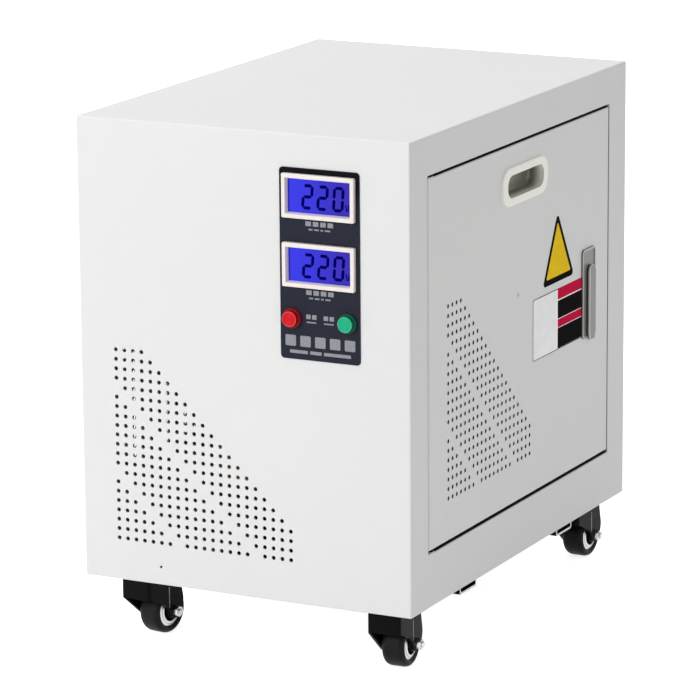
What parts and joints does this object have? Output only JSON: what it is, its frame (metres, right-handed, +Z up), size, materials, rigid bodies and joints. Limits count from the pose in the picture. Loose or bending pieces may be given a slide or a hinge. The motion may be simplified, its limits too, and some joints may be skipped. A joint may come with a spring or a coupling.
{
  "type": "isolation transformer",
  "caption": "Dry isolation transformer in a white ventilated sheet-metal cabinet with side doors, digital meters, pilot lamps and swivel casters.",
  "frame": {"origin": "on the floor, under the middle of the overall footprint", "axes": "+Z up out of the roof, -Y out of the front with the meters, +Y out of the rear wall with the cable entries, +X towards the door on the right of the meters"},
  "size_m": [0.3886, 0.5744, 0.56],
  "materials": {
    "cabinet_paint": "satin powder coat, warm white",
    "zinc_steel": "bright zinc plate",
    "channel_black": "black enamel",
    "instrument_black": "satin print",
    "bezel_white": "moulded, semi gloss",
    "display_blue": "backlit liquid crystal",
    "lamp_red": "moulded lens",
    "lamp_green": "moulded lens",
    "plastic_black": "moulded, matte",
    "earth_brass": "bare",
    "core_steel": "varnished laminations",
    "block_laminate": "pressed laminate",
    "winding_inner": "varnished copper under tape",
    "winding_outer": "varnished insulation paper over copper",
    "clamp_paint": "satin enamel",
    "lead_sleeve": "silicone sleeve",
    "pull_cream": "moulded, semi gloss",
    "lock_metal": "satin plated die casting",
    "caster_black": "black electrophoretic coat",
    "tread_black": "moulded polyurethane",
    "hub_metal": "pressed cover, bright"
  },
  "bodies": {
    "cabinet": {"front_panel": "cabinet_paint", "rear_panel": "cabinet_paint", "top_cover": "cabinet_paint", "base_tray": "cabinet_paint", "hinge_pins": "zinc_steel", "cross_channels": "channel_black", "instrument_plate": "instrument_black", "input_meter_housing": "bezel_white", "output_meter_housing": "bezel_white", "input_meter_display": "display_blue", "output_meter_display": "display_blue", "input_lamp_lens": "lamp_red", "output_lamp_lens": "lamp_green", "input_lamp_body": "plastic_black", "output_lamp_body": "plastic_black", "input_cable_gland": "plastic_black", "output_cable_gland": "plastic_black", "earth_stud": "earth_brass", "terminal_bracket": "cabinet_paint", "input_terminal_block": "plastic_black", "output_terminal_block": "plastic_black", "transformer_core": "core_steel", "winding_blocks": "block_laminate", "transformer_bolts": "zinc_steel", "front_inner_winding": "winding_inner", "front_outer_winding": "winding_outer", "rear_inner_winding": "winding_inner", "rear_outer_winding": "winding_outer", "left_lower_clamp": "clamp_paint", "left_upper_clamp": "clamp_paint", "right_lower_clamp": "clamp_paint", "right_upper_clamp": "clamp_paint", "caster_plates": "zinc_steel", "winding_leads": "lead_sleeve"},
    "right_door": {"right_door": "cabinet_paint", "right_flush_pull": "pull_cream", "right_lock_plate": "lock_metal"},
    "right_lock": {"right_lock_lever": "lock_metal", "right_lock_cam": "lock_metal"},
    "left_door": {"left_door": "cabinet_paint", "left_flush_pull": "pull_cream", "left_lock_plate": "lock_metal"},
    "left_lock": {"left_lock_lever": "lock_metal", "left_lock_cam": "lock_metal"},
    "front_left_swivel": {"front_left_caster_fork": "caster_black", "front_left_caster_axle": "zinc_steel"},
    "front_left_wheel": {"front_left_caster_tread": "tread_black", "front_left_caster_hub": "hub_metal"},
    "front_right_swivel": {"front_right_caster_fork": "caster_black", "front_right_caster_axle": "zinc_steel"},
    "front_right_wheel": {"front_right_caster_tread": "tread_black", "front_right_caster_hub": "hub_metal"},
    "rear_left_swivel": {"rear_left_caster_fork": "caster_black", "rear_left_caster_axle": "zinc_steel"},
    "rear_left_wheel": {"rear_left_caster_tread": "tread_black", "rear_left_caster_hub": "hub_metal"},
    "rear_right_swivel": {"rear_right_caster_fork": "caster_black", "rear_right_caster_axle": "zinc_steel"},
    "rear_right_wheel": {"rear_right_caster_tread": "tread_black", "rear_right_caster_hub": "hub_metal"}
  },
  "joints": [
    {"name": "right_door_hinge", "type": "hinge", "parent": "cabinet", "child": "right_door", "pos_m": [0.184, -0.2258, 0.328], "axis": [0, 0, -1], "range_deg": [0, 110]},
    {"name": "right_lock_turn", "type": "hinge", "parent": "right_door", "child": "right_lock", "pos_m": [0.1885, 0.163, 0.346], "axis": [-1, 0, 0], "range_deg": [0, 90]},
    {"name": "left_door_hinge", "type": "hinge", "parent": "cabinet", "child": "left_door", "pos_m": [-0.184, -0.2258, 0.328], "axis": [0, 0, 1], "range_deg": [0, 110]},
    {"name": "left_lock_turn", "type": "hinge", "parent": "left_door", "child": "left_lock", "pos_m": [-0.1885, 0.163, 0.346], "axis": [-1, 0, 0], "range_deg": [0, 90]},
    {"name": "front_left_swivel_turn", "type": "hinge", "parent": "cabinet", "child": "front_left_swivel", "pos_m": [-0.1425, -0.2298, 0.06], "axis": [0, 0, 1], "continuous": true},
    {"name": "front_left_wheel_spin", "type": "hinge", "parent": "front_left_swivel", "child": "front_left_wheel", "pos_m": [-0.13902, -0.20504, 0.025], "axis": [0.9903, -0.1392, 0], "continuous": true},
    {"name": "front_right_swivel_turn", "type": "hinge", "parent": "cabinet", "child": "front_right_swivel", "pos_m": [0.1425, -0.2298, 0.06], "axis": [0, 0, 1], "continuous": true},
    {"name": "front_right_wheel_spin", "type": "hinge", "parent": "front_right_swivel", "child": "front_right_wheel", "pos_m": [0.14119, -0.20483, 0.025], "axis": [0.9986, 0.0523, 0], "continuous": true},
    {"name": "rear_left_swivel_turn", "type": "hinge", "parent": "cabinet", "child": "rear_left_swivel", "pos_m": [-0.1425, 0.2252, 0.06], "axis": [0, 0, 1], "continuous": true},
    {"name": "rear_left_wheel_spin", "type": "hinge", "parent": "rear_left_swivel", "child": "rear_left_wheel", "pos_m": [-0.14076, 0.25014, 0.025], "axis": [0.9976, -0.0698, 0], "continuous": true},
    {"name": "rear_right_swivel_turn", "type": "hinge", "parent": "cabinet", "child": "rear_right_swivel", "pos_m": [0.1425, 0.2252, 0.06], "axis": [0, 0, 1], "continuous": true},
    {"name": "rear_right_wheel_spin", "type": "hinge", "parent": "rear_right_swivel", "child": "rear_right_wheel", "pos_m": [0.14337, 0.25018, 0.025], "axis": [0.9994, -0.0349, 0], "continuous": true}
  ]
}
